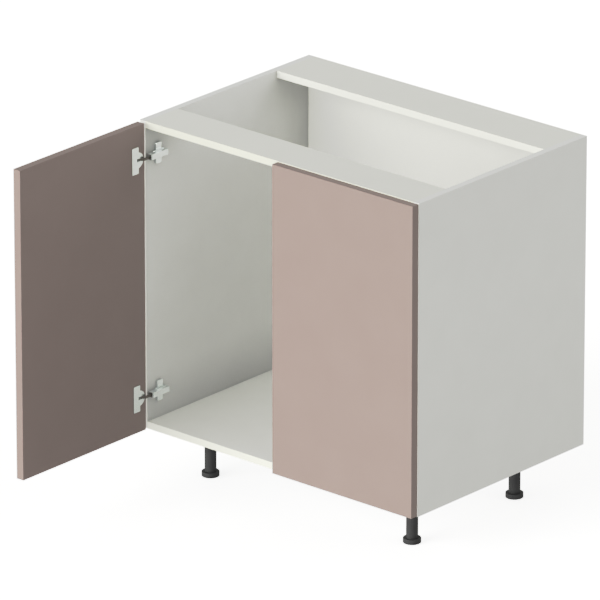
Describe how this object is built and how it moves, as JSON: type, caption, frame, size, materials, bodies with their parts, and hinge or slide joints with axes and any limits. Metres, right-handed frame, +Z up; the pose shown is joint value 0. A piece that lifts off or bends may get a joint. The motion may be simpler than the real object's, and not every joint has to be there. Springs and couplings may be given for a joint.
{
  "type": "sink base cabinet",
  "caption": "Two-door sink base cabinet, open-topped between flat rails, with overlay doors on concealed cup hinges and adjustable legs.",
  "frame": {"origin": "on the floor, at the centre of the footprint taken with the left door standing open at a right angle: the carcase's front plane is 76 mm in front of it, its rear plane 484 mm behind it", "axes": "+X to the right seen from the front, +Y back to the wall, +Z up; z = 0 is the floor"},
  "size_m": [0.8, 0.968, 0.84],
  "materials": {
    "carcase_board": "off-white melamine facing, smooth satin",
    "edge_strip": "off-white edge strip, satin",
    "back_board": "thin off-white faced back, satin",
    "front_board": "taupe faced front, very smooth matt",
    "dowel_wood": "raw beech",
    "zinc": "zinc die-cast, dull",
    "nylon": "natural nylon",
    "steel": "zinc-plated steel",
    "hinge_nickel": "nickel-plated, satin",
    "leg_plastic": "black moulded plastic, matt",
    "spindle_plastic": "black moulded plastic, threaded"
  },
  "bodies": {
    "carcase": {"back_panel": "back_board", "bottom_edge_band": "edge_strip", "bottom_panel": "carcase_board", "cam_bolts": "zinc", "cam_locks": "zinc", "front_left_leg_tube": "leg_plastic", "front_right_leg_tube": "leg_plastic", "front_top_rail": "carcase_board", "hinge_arm_covers": "hinge_nickel", "hinge_arm_pins": "steel", "hinge_arm_screws": "steel", "left_lower_hinge_arm": "hinge_nickel", "left_lower_mounting_plate": "hinge_nickel", "left_side_edge_band": "edge_strip", "left_side_panel": "carcase_board", "left_upper_hinge_arm": "hinge_nickel", "left_upper_mounting_plate": "hinge_nickel", "leg_screws": "steel", "mounting_plate_dowels": "nylon", "rail_edge_band": "edge_strip", "rear_left_leg_tube": "leg_plastic", "rear_right_leg_tube": "leg_plastic", "rear_top_rail": "carcase_board", "rear_upright_rail": "carcase_board", "right_lower_hinge_arm": "hinge_nickel", "right_lower_mounting_plate": "hinge_nickel", "right_side_edge_band": "edge_strip", "right_side_panel": "carcase_board", "right_upper_hinge_arm": "hinge_nickel", "right_upper_mounting_plate": "hinge_nickel", "wooden_dowels": "dowel_wood"},
    "left_door": {"left_door": "front_board", "left_cup_dowels": "nylon", "left_cup_pins": "steel", "left_lower_hinge_cup": "hinge_nickel", "left_upper_hinge_cup": "hinge_nickel"},
    "left_inner_links": {"left_lower_inner_link": "steel", "left_upper_inner_link": "steel", "left_link_pins": "steel"},
    "left_outer_links": {"left_lower_outer_link": "steel", "left_upper_outer_link": "steel"},
    "right_door": {"right_door": "front_board", "right_cup_dowels": "nylon", "right_cup_pins": "steel", "right_lower_hinge_cup": "hinge_nickel", "right_upper_hinge_cup": "hinge_nickel"},
    "right_inner_links": {"right_lower_inner_link": "steel", "right_upper_inner_link": "steel", "right_link_pins": "steel"},
    "right_outer_links": {"right_lower_outer_link": "steel", "right_upper_outer_link": "steel"},
    "front_left_foot": {"front_left_foot_pad": "leg_plastic"},
    "front_left_spindle": {"front_left_foot_spindle": "spindle_plastic"},
    "front_right_foot": {"front_right_foot_pad": "leg_plastic"},
    "front_right_spindle": {"front_right_foot_spindle": "spindle_plastic"},
    "rear_left_foot": {"rear_left_foot_pad": "leg_plastic"},
    "rear_left_spindle": {"rear_left_foot_spindle": "spindle_plastic"},
    "rear_right_foot": {"rear_right_foot_pad": "leg_plastic"},
    "rear_right_spindle": {"rear_right_foot_spindle": "spindle_plastic"}
  },
  "joints": [
    {"name": "left_door_hinge", "type": "hinge", "parent": "carcase", "child": "left_door", "pos_m": [-0.39325, -0.09175, 0.48], "axis": [0, 0, -1], "range_deg": [-90, 20]},
    {"name": "left_inner_link_pivot", "type": "hinge", "parent": "carcase", "child": "left_inner_links", "pos_m": [-0.381, -0.0635, 0.48], "axis": [0, 0, -1], "range_deg": [-90, 20]},
    {"name": "left_outer_link_pivot", "type": "hinge", "parent": "left_inner_links", "child": "left_outer_links", "pos_m": [-0.37275, -0.06775, 0.48], "axis": [0, 0, -1], "range_deg": [-20, 90]},
    {"name": "right_door_hinge", "type": "hinge", "parent": "carcase", "child": "right_door", "pos_m": [0.39325, -0.09175, 0.48], "axis": [0, 0, 1], "range_deg": [0, 110]},
    {"name": "right_inner_link_pivot", "type": "hinge", "parent": "carcase", "child": "right_inner_links", "pos_m": [0.381, -0.0635, 0.48], "axis": [0, 0, 1], "range_deg": [0, 110]},
    {"name": "right_outer_link_pivot", "type": "hinge", "parent": "right_inner_links", "child": "right_outer_links", "pos_m": [0.37675, -0.05525, 0.48], "axis": [0, 0, 1], "range_deg": [-110, 0]},
    {"name": "front_left_foot_slide", "type": "slide", "parent": "carcase", "child": "front_left_foot", "axis": [0, 0, -1], "range_m": [0, 0.02]},
    {"name": "front_left_spindle_turn", "type": "hinge", "parent": "front_left_foot", "child": "front_left_spindle", "pos_m": [-0.293, 0.031, 0.02], "axis": [0, 0, -1], "range_deg": [0, 1800]},
    {"name": "front_right_foot_slide", "type": "slide", "parent": "carcase", "child": "front_right_foot", "axis": [0, 0, -1], "range_m": [0, 0.02]},
    {"name": "front_right_spindle_turn", "type": "hinge", "parent": "front_right_foot", "child": "front_right_spindle", "pos_m": [0.293, 0.031, 0.02], "axis": [0, 0, -1], "range_deg": [0, 1800]},
    {"name": "rear_left_foot_slide", "type": "slide", "parent": "carcase", "child": "rear_left_foot", "axis": [0, 0, -1], "range_m": [0, 0.02]},
    {"name": "rear_left_spindle_turn", "type": "hinge", "parent": "rear_left_foot", "child": "rear_left_spindle", "pos_m": [-0.293, 0.377, 0.02], "axis": [0, 0, -1], "range_deg": [0, 1800]},
    {"name": "rear_right_foot_slide", "type": "slide", "parent": "carcase", "child": "rear_right_foot", "axis": [0, 0, -1], "range_m": [0, 0.02]},
    {"name": "rear_right_spindle_turn", "type": "hinge", "parent": "rear_right_foot", "child": "rear_right_spindle", "pos_m": [0.293, 0.377, 0.02], "axis": [0, 0, -1], "range_deg": [0, 1800]}
  ],
  "couplings": [
    {"joint": "left_inner_link_pivot", "follows": "left_door_hinge", "ratio": 1},
    {"joint": "left_outer_link_pivot", "follows": "left_door_hinge", "ratio": -1},
    {"joint": "right_inner_link_pivot", "follows": "right_door_hinge", "ratio": 1},
    {"joint": "right_outer_link_pivot", "follows": "right_door_hinge", "ratio": -1},
    {"joint": "front_left_spindle_turn", "follows": "front_left_foot_slide", "rad_per_m": 1570.8},
    {"joint": "front_right_spindle_turn", "follows": "front_right_foot_slide", "rad_per_m": 1570.8},
    {"joint": "rear_left_spindle_turn", "follows": "rear_left_foot_slide", "rad_per_m": 1570.8},
    {"joint": "rear_right_spindle_turn", "follows": "rear_right_foot_slide", "rad_per_m": 1570.8}
  ]
}
